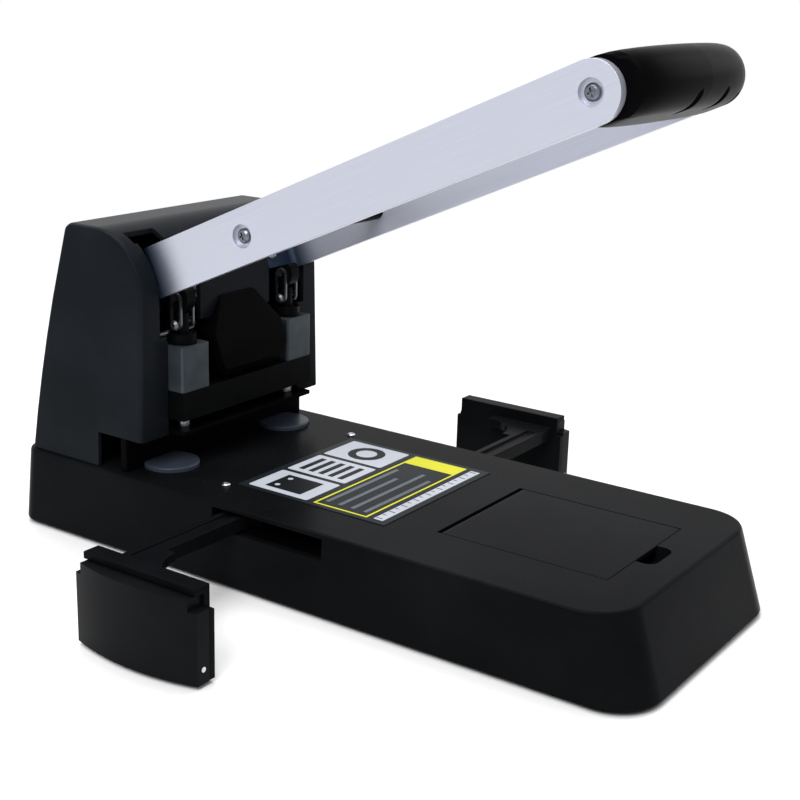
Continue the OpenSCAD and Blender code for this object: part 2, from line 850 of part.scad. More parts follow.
// An arm seen from above: the bar, the bend and the flange behind it
module arm_plan() {
    bend_row = -arm_rear - arm_bend;
    bend_centre = half_arm_span - arm_bend;
    tip = grip_reach + arm_width / 2;
    translate([arm_inner, -tip]) square([arm_thickness, tip - arm_rear - arm_bend]);
    translate([flange_inner, -arm_rear - arm_thickness]) square([bend_centre - flange_inner, arm_thickness]);
    intersection() {
        translate([bend_centre, bend_row]) difference() {
            circle(r = arm_bend);
            circle(r = arm_bend - arm_thickness);
        }
        translate([bend_centre, bend_row]) square(arm_bend + 1);
    }
}

module arm(side) {
    color("#c9c9d6") on_lever() on_side(side) difference() {
        intersection() {
            translate([0, 0, arm_low]) linear_extrude(arm_width) arm_plan();
            along_x(0, half_arm_span + 1) union() {
                translate([-grip_reach, arm_low - 1]) square([grip_reach, arm_width + 2]);
                translate([-grip_reach, arm_offset]) circle(r = arm_width / 2);
            }
        }
        for (reach = [tie_reach, grip_reach]) translate([0, -reach, arm_offset]) {
            rod_x(arm_inner - 1, arm_thickness + 2, arm_screw_radius + screw_fit);
            rod_x(half_arm_span - recess_depth, recess_depth + 1, recess_radius);
        }
        box(0, flange_notch_half, -arm_rear - arm_bend, 0, arm_low - 1, flange_notch_top);
        for (row = flange_screw_rows) translate([flange_screw_half, -arm_rear + 1, row]) rotate([90, 0, 0])
            cylinder(r = flange_screw_radius + screw_fit, h = arm_thickness + 2);
    }
}

module left_arm() { arm(-1); }

module right_arm() { arm(1); }

module flange_screws() {
    color("#d6d7da") on_lever() both_sides() for (row = flange_screw_rows)
        translate([flange_screw_half, -arm_rear - arm_thickness, row]) rotate([90, 0, 0])
            pan_screw(flange_screw_head, flange_screw_rise, flange_screw_radius,
                arm_thickness + flange_screw_depth - 1);
}

module arm_screws() {
    color("#d6d7da") on_lever() both_sides() for (reach = [tie_reach, grip_reach])
        translate([half_arm_span - recess_depth, -reach, arm_offset]) rotate([0, 90, 0])
            pan_screw(arm_screw_head, arm_screw_rise, arm_screw_radius, arm_screw_depth);
}

// A cross rod between the arms with a screw hole in each end
module cross_rod(reach, radius) {
    on_lever() translate([0, -reach, arm_offset]) difference() {
        rod_x(-arm_inner, 2 * arm_inner, radius);
        both_sides() rod_x(half_arm_span - recess_depth - arm_screw_depth - 1, arm_screw_depth,
            arm_screw_radius + screw_fit);
    }
}

module tie_tube() { color("#2c2e32") cross_rod(tie_reach, tie_radius); }

module grip_rod() { color("#8d8f94") cross_rod(grip_reach, grip_rod_radius); }

// A barrel that is fullest in the middle and ends as round as the arms
module grip_form() {
    hull() for (turn = [0 : 15 : 90]) {
        swell = pow(cos(turn), 0.7);
        radius = grip_end_radius + (grip_radius - grip_end_radius) * swell;
        ahead = grip_end_ahead + (grip_ahead - grip_end_ahead) * swell;
        for (side = [-1, 1]) for (along = [0, -ahead])
            translate([side * (grip_half - layer) * sin(turn) - layer, along, -grip_drop * swell])
                rod_x(0, 2 * layer, radius, $fn = hull_sides * 2);
    }
}

module grip() {
    color("#121315") on_lever() translate([0, -grip_reach, arm_offset]) difference() {
        grip_form();
        rod_x(-grip_half - 1, 2 * grip_half + 2, grip_rod_radius + run_fit);
        for (x = grip_grooves) translate([x, -grip_ahead, -grip_radius - grip_drop - 1.2])
            rotate([70, 0, 0]) cylinder(r = groove_radius, h = 26, center = true);
    }
}

module lift_pins() {
    reach = link_offset + 1;
    color("#c4c6ca") on_lever() both_sides() translate([0, -lobe_along, lobe_across])
        rod_x(half_holes - reach, 2 * reach, pin_radius);
}

module return_spring() {
    color("#8d8f94") on_lever() {
        difference() {
            rod_x(-spring_half, 2 * spring_half, spring_radius);
            rod_x(-spring_half - 1, 2 * spring_half + 2, spring_bore);
        }
        box(-spring_half, -spring_half + 2.4, -4, 2, spring_radius - 1, spring_radius + 0.8);
    }
}

// Everything that rides on one punch axis, modelled on the right
module on_punch(side) { in_place() on_side(side) translate([half_holes, punch_row, 0]) children(); }

module plunger(side) {
    color("#17181a") on_punch(side) difference() {
        union() {
            translate([0, 0, plunger_low]) cylinder(r = plunger_radius, h = plunger_shoulder - plunger_low);
            translate([0, 0, plunger_low]) cylinder(r = plunger_neck_radius, h = plunger_top - plunger_low);
        }
        translate([0, 0, plunger_low - 1])
            cylinder(r = punch_radius + 0.02, h = punch_seat - plunger_low + 1);
        translate([0, 0, cross_pin_height]) rod_x(-plunger_radius, 2 * plunger_radius, pin_radius + 0.02);
    }
}

module left_plunger() { plunger(-1); }

module right_plunger() { plunger(1); }

module punch(side) {
    color("#b4b6ba") on_punch(side) difference() {
        translate([0, 0, punch_tip]) cylinder(r = punch_radius, h = punch_seat - punch_tip);
        translate([0, 0, punch_tip - 1]) cylinder(r = punch_bore_radius, h = punch_seat - punch_tip - 3);
    }
}

module left_punch() { punch(-1); }

module right_punch() { punch(1); }

module cross_pin(side) {
    color("#d6d7da") on_punch(side) translate([0, 0, cross_pin_height]) {
        rod_x(-dome_start - 0.5, 2 * dome_start + 1, pin_radius);
        both_sides() {
            rod_x(dome_start, dome_height / 2, dome_radius);
            translate([dome_start + dome_height / 2, 0, 0]) rotate([0, 90, 0])
                cylinder(r1 = dome_radius, r2 = dome_radius * 0.55, h = dome_height / 2);
        }
    }
}

module left_cross_pin() { cross_pin(-1); }

module right_cross_pin() { cross_pin(1); }

// A long ring outline with round ends
module link_outline(radius) {
    translate([-radius, link_low]) square([2 * radius, link_high - link_low]);
    for (height = [link_low, link_high]) translate([0, height]) circle(r = radius);
}

// A closed link in the Y Z plane
module wire_link() {
    along_x(-wire_radius, 2 * wire_radius) difference() {
        link_outline(link_half + wire_radius);
        link_outline(link_half - wire_radius);
    }
}

module links(side) {
    color("#c4c6ca") on_punch(side) for (x = [-link_offset, link_offset]) translate([x, 0, 0]) wire_link();
}

module left_links() { links(-1); }

module right_links() { links(1); }

module pad(side) {
    bevel = 0.6;
    color("#7c869a") on_punch(side) translate([pad_shift.x, pad_shift.y, anvil_height]) {
        cylinder(r = pad_radius, h = pad_top - anvil_height - bevel);
        translate([0, 0, pad_top - anvil_height - bevel])
            cylinder(r1 = pad_radius, r2 = pad_radius - bevel, h = bevel);
    }
}

module left_pad() { pad(-1); }

module right_pad() { pad(1); }

// Rack teeth that point at the pinion, a gap in line with its middle
module rack_teeth() {
    root_half = tooth_pitch * 0.24;
    tip_half = tooth_pitch * 0.1;
    rack_tip = rack_root - 2 * tooth_module;
    last = floor(rack_end / tooth_pitch - 0.8);
    first = ceil(rack_start / tooth_pitch - 0.2);
    for (index = [first : last]) translate([(index + 0.5) * tooth_pitch, 0])
        polygon([[-root_half, rack_root + 0.5], [-root_half, rack_root], [-tip_half, rack_tip],
            [tip_half, rack_tip], [root_half, rack_root], [root_half, rack_root + 0.5]]);
}

// The flare that joins a guide arm to its plate, seen from above
module guide_flare() {
    reach = 26;
    outer = rack_root + arm_bar_width;
    difference() {
        translate([-half_guide, rack_root - reach]) square([reach, reach + 1]);
        translate([-half_guide + reach, rack_root - reach]) circle(r = reach - 5);
        translate([-half_guide + 5, rack_root - reach - 1]) square([reach, 2]);
    }
    translate([-half_guide, rack_root - reach]) square([strip_depth, outer - rack_root + reach]);
}

module guide(side) {
    inner = -half_guide - plate_thickness;
    upper = half_plate - plate_step;
    color(shell_black) on_guide(side) {
        difference() {
            box(-half_guide, rack_end, rack_root, rack_root + arm_bar_width, guide_low, guide_high);
            box(-half_guide + 12, rack_start + 10, rack_root + 3.5, rack_root + arm_bar_width - 3.5,
                guide_high - 1.2, guide_high + 1);
        }
        translate([0, 0, guide_low]) linear_extrude(guide_high - guide_low) rack_teeth();
        translate([0, 0, guide_low + 2]) linear_extrude(guide_high - guide_low - 2) guide_flare();
        box(inner, -half_guide, -half_plate, half_plate, plate_low_edge, plate_shoulder);
        box(inner, -half_guide, -upper, upper, plate_low_edge, plate_top);
        box(-half_guide - lip_depth, -half_guide, -upper, upper, plate_top - lip_height, plate_top);
    }
}

module left_guide() { guide(-1); }

module right_guide() { guide(1); }

module cover(side) {
    face = -half_guide - plate_thickness;
    top = plate_top - lip_height - slide_gap;
    upper = half_plate - plate_step - 1.5;
    color("#24262a") on_guide(side) difference() {
        intersection() {
            translate([face - cover_depth + cover_bow_radius, 0, plate_low_edge])
                cylinder(r = cover_bow_radius, h = top - plate_low_edge, $fn = 256);
            union() {
                box(face - cover_depth - 1, face, -half_plate, half_plate, plate_low_edge,
                    plate_shoulder + 1);
                box(face - cover_depth - 1, face, -upper, upper, plate_low_edge, top);
            }
        }
        box(face - cover_depth + 2 * cover_wall, face + 1, -upper + cover_wall, upper - cover_wall,
            plate_low_edge + cover_wall, top - cover_wall);
        translate([face - cover_pin_inset, half_plate + 1, cover_pin_height]) rotate([90, 0, 0])
            cylinder(r = cover_pin_radius + screw_fit, h = plate_length + 2);
    }
}

module left_cover() { cover(-1); }

module right_cover() { cover(1); }

module cover_pin(side) {
    reach = half_plate + 0.4;
    color("#c4c6ca") on_guide(side)
        translate([-half_guide - plate_thickness - cover_pin_inset, reach, cover_pin_height])
            rotate([90, 0, 0]) cylinder(r = cover_pin_radius, h = 2 * reach);
}

module left_cover_pin() { cover_pin(-1); }

module right_cover_pin() { cover_pin(1); }

module guide_tray() {
    color("#303236") in_place() difference() {
        union() {
            box(-tray_half, tray_half, pinion_row - tray_reach, pinion_row + tray_reach, tray_low, tray_top);
            for (row = [-tray_reach, tray_reach - tray_wall])
                box(-tray_half, tray_half, pinion_row + row, pinion_row + row + tray_wall, tray_low,
                    guide_high - 1);
            both_sides() {
                for (side = [-1, 1]) translate([tray_post.x, pinion_row + side * tray_post.y, floor_plate])
                    cylinder(r = tray_post_radius, h = tray_low - floor_plate + 0.5);
                box(deck_screw.x - tray_post_radius, deck_screw.x + tray_post_radius,
                    pinion_row + tray_reach - 1, deck_screw.y + tray_post_radius, tray_low, tray_top);
                translate([deck_screw.x, deck_screw.y, tray_low])
                    cylinder(r = tray_post_radius, h = deck_under - tray_low);
            }
        }
        translate([0, pinion_row, tray_low - 1]) cylinder(r = pinion_pin_radius + 0.02, h = tray_top);
        both_sides() translate([deck_screw.x, deck_screw.y, tray_low + 2])
            cylinder(r = deck_screw_radius + screw_fit, h = deck_under);
    }
}

module pinion() {
    root = pitch_radius - 1.2 * tooth_module;
    tip = pitch_radius + 0.8 * tooth_module;
    height = guide_high - guide_low - 0.2;
    color("#d8d6cc") in_place() translate([0, pinion_row, guide_low + 0.1]) difference() {
        union() {
            cylinder(r = root, h = height);
            for (index = [0 : tooth_count - 1]) rotate([0, 0, index * 360 / tooth_count])
                linear_extrude(height) polygon([[-tooth_module * 0.8, root - 1], [-tooth_module * 0.3, tip],
                    [tooth_module * 0.3, tip], [tooth_module * 0.8, root - 1]]);
        }
        translate([0, 0, -1]) cylinder(r = pinion_pin_radius + run_fit, h = height + 2);
    }
}

module pinion_pin() {
    color("#b4b6ba") in_place() translate([0, pinion_row, 0]) {
        translate([0, 0, tray_low - pinion_pin_rise]) cylinder(r = pinion_pin_head, h = pinion_pin_rise);
        translate([0, 0, tray_low - 1]) cylinder(r = pinion_pin_radius, h = deck_under - tray_low + 0.7);
    }
}

base_shell();
compartment_tray();
bottom_plate();
bottom_screws();
rubber_feet();
top_panel();
deck_screws();
compartment_lid();
lid_pin();
head_cover();
head_screws();
left_frame();
right_frame();
anvil_block();
guide_bar();
throat_plate();
paper_stop();
centre_nose();
frame_screws();
tie_rods();
tie_nuts();
left_block();
right_block();
block_screws();
pivot_shaft();
pivot_spacers();
pivot_clips();
lever_hub();
left_arm();
right_arm();
flange_screws();
arm_screws();
tie_tube();
grip();
grip_rod();
lift_pins();
return_spring();
left_plunger();
right_plunger();
left_punch();
right_punch();
left_cross_pin();
right_cross_pin();
left_links();
right_links();
left_pad();
right_pad();
left_guide();
right_guide();
left_cover();
right_cover();
left_cover_pin();
right_cover_pin();
guide_tray();
pinion();
pinion_pin();
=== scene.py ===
import json
import math

import bpy
from mathutils import Matrix, Vector


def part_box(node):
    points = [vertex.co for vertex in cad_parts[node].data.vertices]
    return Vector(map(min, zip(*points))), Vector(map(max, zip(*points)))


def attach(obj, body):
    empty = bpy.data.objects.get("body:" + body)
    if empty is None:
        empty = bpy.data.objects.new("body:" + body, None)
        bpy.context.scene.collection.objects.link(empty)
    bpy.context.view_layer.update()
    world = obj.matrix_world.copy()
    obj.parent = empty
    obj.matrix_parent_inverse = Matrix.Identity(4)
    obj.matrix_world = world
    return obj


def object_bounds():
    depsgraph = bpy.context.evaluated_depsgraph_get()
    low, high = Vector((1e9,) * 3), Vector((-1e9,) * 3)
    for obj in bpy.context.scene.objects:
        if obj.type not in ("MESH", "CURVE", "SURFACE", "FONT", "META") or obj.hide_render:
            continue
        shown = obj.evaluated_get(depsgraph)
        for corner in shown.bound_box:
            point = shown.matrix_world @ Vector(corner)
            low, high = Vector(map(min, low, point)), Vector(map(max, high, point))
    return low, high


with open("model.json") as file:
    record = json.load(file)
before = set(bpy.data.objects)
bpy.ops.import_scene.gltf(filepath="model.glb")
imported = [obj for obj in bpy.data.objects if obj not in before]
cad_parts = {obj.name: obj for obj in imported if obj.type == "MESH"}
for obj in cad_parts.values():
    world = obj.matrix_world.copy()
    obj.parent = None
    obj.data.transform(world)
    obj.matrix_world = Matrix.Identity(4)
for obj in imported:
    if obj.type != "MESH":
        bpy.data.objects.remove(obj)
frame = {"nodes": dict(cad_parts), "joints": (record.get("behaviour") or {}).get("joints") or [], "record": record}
cadLow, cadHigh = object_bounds()
nodes = frame["nodes"]
print("frame loaded:", len(nodes), "solids")


# small helpers

def deselectAll():
    if bpy.context.object and bpy.context.object.mode != "OBJECT":
        bpy.ops.object.mode_set(mode="OBJECT")
    bpy.ops.object.select_all(action="DESELECT")


def linearColour(hexColour):
    channels = [int(hexColour[i:i + 2], 16) / 255 for i in (1, 3, 5)]
    return [c / 12.92 if c <= 0.04045 else ((c + 0.055) / 1.055) ** 2.4 for c in channels] + [1.0]


def addNode(tree, kind, settings=None, links=None):
    node = tree.nodes.new(kind)
    for key, value in (settings or {}).items():
        if isinstance(key, int) or key in node.inputs:
            node.inputs[key].default_value = value
        else:
            setattr(node, key, value)
    for key, source in (links or {}).items():
        tree.links.new(source, node.inputs[key])
    return node


def newMaterial(name):
    material = bpy.data.materials.new(name)
    material.use_nodes = True
    tree = material.node_tree
    shader = tree.nodes["Principled BSDF"]
    coords = addNode(tree, "ShaderNodeTexCoord").outputs["Object"]
    return material, tree, shader, coords


def rampColours(tree, source, stops):
    ramp = addNode(tree, "ShaderNodeValToRGB", links={"Fac": source})
    for element, (place, colour) in zip(ramp.color_ramp.elements, stops):
        element.position = place
        element.color = linearColour(colour)
    return ramp.outputs["Color"]


def perMetre(millimetres):
    return 1000.0 / millimetres


# surface textures: sizes and depths in mm, roughness as far below and above the gloss as smoother and rougher

moulded = {
    "cloudSize": 45, "cloudDetail": 3.0, "gritDetail": 2.0, "darkAt": 0.35, "lightAt": 0.7,
    "smoother": 0.05, "rougher": 0.06, "relief": 0.12, "depth": 0.06,
}
blasted = {
    "cloudSize": 9, "cloudDetail": 4.0, "gritDetail": 2.0, "darkAt": 0.3, "lightAt": 0.7,
    "smoother": 0.06, "rougher": 0.06, "relief": 0.2, "depth": 0.05,
}
brushed = {
    "lineDetail": 3.0, "darkAt": 0.3, "lightAt": 0.7,
    "smoother": 0.03, "rougher": 0.04, "relief": 0.05, "depth": 0.02,
}


def roughenSurface(tree, shader, pattern, gloss, texture):
    rough = addNode(tree, "ShaderNodeMapRange",
                    {"To Min": gloss - texture["smoother"], "To Max": gloss + texture["rougher"]},
                    {"Value": pattern})
    bump = addNode(tree, "ShaderNodeBump",
                   {"Strength": texture["relief"], "Distance": texture["depth"] / 1000}, {"Height": pattern})
    tree.links.new(rough.outputs["Result"], shader.inputs["Roughness"])
    tree.links.new(bump.outputs["Normal"], shader.inputs["Normal"])


def grained(name, texture, dark, light, gloss, grain, shine, metallic=0.0):
    # slow clouds of tone under a fine grain that breaks up the sheen, the grain's size in mm
    material, tree, shader, coords = newMaterial(name)
    cloud = addNode(tree, "ShaderNodeTexNoise",
                    {"Scale": perMetre(texture["cloudSize"]), "Detail": texture["cloudDetail"]},
                    {"Vector": coords})
    grit = addNode(tree, "ShaderNodeTexNoise",
                   {"Scale": perMetre(grain), "Detail": texture["gritDetail"]}, {"Vector": coords})
    tone = rampColours(tree, cloud.outputs["Fac"], [(texture["darkAt"], dark), (texture["lightAt"], light)])
    tree.links.new(tone, shader.inputs["Base Color"])
    roughenSurface(tree, shader, grit.outputs["Fac"], gloss, texture)
    shader.inputs["Specular IOR Level"].default_value = shine
    shader.inputs["Metallic"].default_value = metallic
    return material


# lever arms: rise in degrees, brushed lines in mm, and a painted dark-blue reflection that fades in over the pivot
# end, between the From and To distances in metres off the pivot

arms = {
    "dark": "#b8bbc8", "light": "#bec1ce", "gloss": 0.32, "metallic": 0.55, "rise": 23.8,
    "lineGap": 0.5, "lineLength": 60.0, "paintedReflection": "#212e42", "paintedReflectionFrom": 0.058, "paintedReflectionTo": 0.035,
}


def pivotAlong(rise):
    pivot = next(joint["pos_m"] for joint in frame["joints"] if joint["name"] == "lever_swing")
    return pivot[1] * math.cos(math.radians(rise)) - pivot[2] * math.sin(math.radians(rise))


def brushedMetal(name, strip, pivotPlace):
    # rolled metal brushed along its length: fine parallel lines that stretch the highlights, and one end darkened
    # by a painted dark-blue reflection
    material, tree, shader, coords = newMaterial(name)
    turned = addNode(tree, "ShaderNodeMapping", {"Rotation": (math.radians(strip["rise"]), 0, 0)},
                     {"Vector": coords})
    across, along = perMetre(strip["lineGap"]), perMetre(strip["lineLength"])
    drawn = addNode(tree, "ShaderNodeMapping", {"Scale": (across, along, across)},
                    {"Vector": turned.outputs["Vector"]})
    lines = addNode(tree, "ShaderNodeTexNoise", {"Scale": 1.0, "Detail": brushed["lineDetail"]},
                    {"Vector": drawn.outputs["Vector"]})
    plain = rampColours(tree, lines.outputs["Fac"],
                        [(brushed["darkAt"], strip["dark"]), (brushed["lightAt"], strip["light"])])
    # painted reflection: toward the pivot the arm's colour is mixed into a dark blue, standing in for the dark
    # head mirrored in it
    place = addNode(tree, "ShaderNodeSeparateXYZ", links={"Vector": turned.outputs["Vector"]})
    paintedReflectionMask = addNode(tree, "ShaderNodeMapRange",
                    {"interpolation_type": "SMOOTHSTEP", "From Min": pivotPlace - strip["paintedReflectionFrom"],
                     "From Max": pivotPlace - strip["paintedReflectionTo"]}, {"Value": place.outputs["Y"]})
    # a colour mix has its factor at socket 0, its colours at 6 and 7, and the mixed colour at output 2
    withPaintedReflection = addNode(tree, "ShaderNodeMix", {"data_type": "RGBA", 7: linearColour(strip["paintedReflection"])},
                     {0: paintedReflectionMask.outputs["Result"], 6: plain})
    tree.links.new(withPaintedReflection.outputs[2], shader.inputs["Base Color"])
    roughenSurface(tree, shader, lines.outputs["Fac"], strip["gloss"], brushed)
    shader.inputs["Metallic"].default_value = strip["metallic"]
    return material


# ABS from a spark-eroded mould: an even black with a fine grain that never looks wet
shellAbs = grained("Black grained ABS", moulded, "#0b0c0e", "#111214", gloss=0.26, grain=0.7, shine=0.015)
headAbs = grained("Black satin ABS", moulded, "#13161a", "#191c20", gloss=0.28, grain=0.7, shine=0.025)
coverAbs = grained("Black smooth ABS", moulded, "#0d0e10", "#121315", gloss=0.30, grain=1.0, shine=0.03)
innerAbs = grained("Black plain ABS", moulded, "#040405", "#070708", gloss=0.40, grain=0.8, shine=0.01)
# polypropylene from a polished mould: the deepest black, with one soft streak of light
gripPlastic = grained("Glossy black polypropylene", moulded, "#040405", "#070708",
                      gloss=0.30, grain=2.0, shine=0.012)
# nylon: glass fibres give the pads a cloudy grey, the plain gear is milky
padNylon = grained("Grey glass-filled nylon", moulded, "#343b46", "#3d4450",
                   gloss=0.28, grain=0.6, shine=0.12)
gearNylon = grained("Natural nylon", moulded, "#cfccc0", "#dcdacf", gloss=0.4, grain=0.8, shine=0.4)
# pressed rubber: dull all over
footRubber = grained("Black rubber", moulded, "#0d0d0e", "#141415", gloss=0.75, grain=0.5, shine=0.2)
# satin film with screen-printed inks: flat tones with a faint tooth
panelFilm = grained("Dark polyester film", moulded, "#1a1e21", "#202427", gloss=0.28, grain=0.5, shine=0.03)
paleInk = grained("Pale grey printing ink", moulded, "#adb1bb", "#babec8", gloss=0.40, grain=0.6, shine=0.1)
midInk = grained("Grey printing ink", moulded, "#52585e", "#5c6369", gloss=0.40, grain=0.6, shine=0.1)
darkInk = grained("Black printing ink", moulded, "#121417", "#181b1e", gloss=0.40, grain=0.6, shine=0.05)
yellowInk = grained("Yellow printing ink", moulded, "#c6c41f", "#d0ce28", gloss=0.40, grain=0.6, shine=0.1)
# brushed and anodised strip: a pale silver with lines along the arm, and a painted dark reflection at its pivot
# end
armAluminium = brushedMetal("Satin anodised aluminium", arms, pivotAlong(arms["rise"]))
# plated steel: zinc is bright, nickel a mirror grey, phosphate a dull grey
zincSteel = grained("Bright zinc-plated steel", blasted, "#b5b8bd", "#cdd0d4",
                    gloss=0.28, grain=0.5, shine=0.5, metallic=1.0)
nickelSteel = grained("Nickel-plated steel", blasted, "#6a6e76", "#7c8088",
                      gloss=0.24, grain=0.5, shine=0.5, metallic=1.0)
wireSteel = grained("Grey phosphated steel", blasted, "#55575b", "#66686c",
                    gloss=0.42, grain=0.5, shine=0.5, metallic=1.0)
# blackened steel: nearly no light comes back from it
blackSteel = grained("Black oxide steel", blasted, "#060708", "#0a0b0c",
                     gloss=0.36, grain=0.6, shine=0.02, metallic=0.1)
# blasted casting: a mid grey with fine grit
blockMetal = grained("Blasted zinc casting", blasted, "#363c42", "#41474d",
                     gloss=0.40, grain=0.4, shine=0.1, metallic=0.5)
print("materials made")

finishes = {
    "shell_plastic": shellAbs, "inner_plastic": innerAbs, "printed_film": panelFilm, "rubber": footRubber,
    "black_steel": blackSteel, "zinc_steel": zincSteel, "cast_grey": blockMetal,
    "arm_aluminium": armAluminium, "grip_plastic": gripPlastic, "pad_plastic": padNylon,
    "pinion_nylon": gearNylon,
}
ownFinishes = [
    (coverAbs, ["left_cover", "right_cover"]),
    (innerAbs, ["centre_nose"]),
    (headAbs, ["head_cover"]),
    (nickelSteel, ["arm_screws"]),
    (wireSteel, ["left_links", "right_links", "left_cross_pin", "right_cross_pin", "lift_pins"]),
]
for entry in frame["record"]["subparts"]:
    solid = nodes[entry["node"]]
    solid.data.materials.clear()
    solid.data.materials.append(finishes[entry["material_slot"]])
for material, names in ownFinishes:
    for name in names:
        nodes[name].data.materials[0] = material
print("finishes given")


# soft edges on the solids, as moulded and deburred pieces have: widths in mm, angles in degrees

edgeWidths = {
    "base_shell": 0.5, "compartment_lid": 0.5, "head_cover": 0.6, "left_guide": 0.4, "right_guide": 0.4,
    "left_cover": 0.8, "right_cover": 0.8, "left_arm": 0.9, "right_arm": 0.9,
    "left_block": 1.3, "right_block": 1.3, "centre_nose": 0.6, "guide_bar": 0.4, "throat_plate": 0.3,
    "paper_stop": 0.3, "left_pad": 0.3, "right_pad": 0.3, "left_plunger": 0.3, "right_plunger": 0.3,
    "lever_hub": 0.4, "arm_screws": 0.15, "flange_screws": 0.15, "grip": 0.3, "deck_screws": 0.12,
    "tie_tube": 0.4, "rubber_feet": 0.3, "bottom_plate": 0.3,
}
softEdge = {"weld": 0.01, "flatAngle": 0.5, "sharpAngle": 32, "segments": 2, "faceWeight": 70}


def softenEdges(solid, width):
    steps = [
        ("WELD", {"merge_threshold": softEdge["weld"] / 1000}),
        ("DECIMATE", {"decimate_type": "DISSOLVE", "angle_limit": math.radians(softEdge["flatAngle"])}),
        ("BEVEL", {"width": width / 1000, "segments": softEdge["segments"], "limit_method": "ANGLE",
                   "angle_limit": math.radians(softEdge["sharpAngle"]), "use_clamp_overlap": True}),
        ("WEIGHTED_NORMAL", {"keep_sharp": False, "weight": softEdge["faceWeight"]}),
    ]
    for kind, settings in steps:
        modifier = solid.modifiers.new(kind.title(), kind)
        for key, value in settings.items():
            setattr(modifier, key, value)


for name, width in edgeWidths.items():
    softenEdges(nodes[name], width)
    deselectAll()
    nodes[name].select_set(True)
    bpy.context.view_layer.objects.active = nodes[name]
    bpy.ops.object.shade_smooth()
print("edges softened:", len(edgeWidths))


# printed panel on the deck: plain tiles, bars and a scale, all as thin ink on the film, sizes in metres

panel = {
    "inkHeight": 0.00004, "dotRound": 0.98, "cornerSteps": 4,
    "tile": {"length": 0.036, "gap": 0.003, "rearRoom": 0.004, "sideRoom": 0.012, "corner": 0.0012},
    # the sheet's and the stack's widths are shares of a tile's
    "sheet": {"width": 0.7, "length": 0.6, "corner": 0.0005,
              "holeSide": 0.005, "holeRise": 0.0065, "holeRadius": 0.0014},
    "stack": {"width": 0.72, "sheets": 5, "first": -0.012, "step": 0.006, "thick": 0.0032, "corner": 0.0003},
    "disc": {"outer": 0.0098, "inner": 0.0055},
    "box": {"rearRoom": 0.004, "frontRoom": 0.012, "sideRoom": 0.003, "line": 0.0011, "band": 0.012},
    "bars": {"lengths": (0.054, 0.060, 0.047, 0.058), "side": 0.005, "first": 0.0046, "room": 0.009,
             "thick": 0.0022, "corner": 0.0003},
    "scale": {"middle": 0.0062, "sideRoom": 0.008, "length": 0.0052, "corner": 0.0004, "marks": 8,
              "step": 0.005, "markRear": 0.0084, "markLong": 0.0034, "markShort": 0.002, "markThick": 0.0006},
}
filmLow, filmHigh = (Vector(corner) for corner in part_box("top_panel"))


def inkPatch(x, y, width, length, corner, layer):
    deselectAll()
    bpy.ops.mesh.primitive_plane_add(size=1.0, location=(x, y, filmHigh.z + layer * panel["inkHeight"]))
    patch = bpy.context.object
    patch.scale = (width, length, 1.0)
    bpy.ops.object.transform_apply(location=True, rotation=True, scale=True)
    bpy.ops.object.mode_set(mode="EDIT")
    bpy.ops.mesh.select_all(action="SELECT")
    if corner > 0:
        bpy.ops.mesh.bevel(offset=corner, segments=panel["cornerSteps"], affect="VERTICES")
    bpy.ops.mesh.extrude_region_move(TRANSFORM_OT_translate={"value": (0, 0, panel["inkHeight"])})
    bpy.ops.mesh.select_all(action="SELECT")
    bpy.ops.mesh.normals_make_consistent(inside=False)
    bpy.ops.object.mode_set(mode="OBJECT")
    return patch


def inkDot(x, y, radius, layer):
    return inkPatch(x, y, radius * 2, radius * 2, radius * panel["dotRound"], layer)


def joinInk(name, patches, material):
    deselectAll()
    for patch in patches:
        patch.select_set(True)
    bpy.context.view_layer.objects.active = patches[0]
    bpy.ops.object.join()
    ink = bpy.context.object
    ink.name = name
    ink.data.materials.clear()
    ink.data.materials.append(material)
    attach(ink, "base")


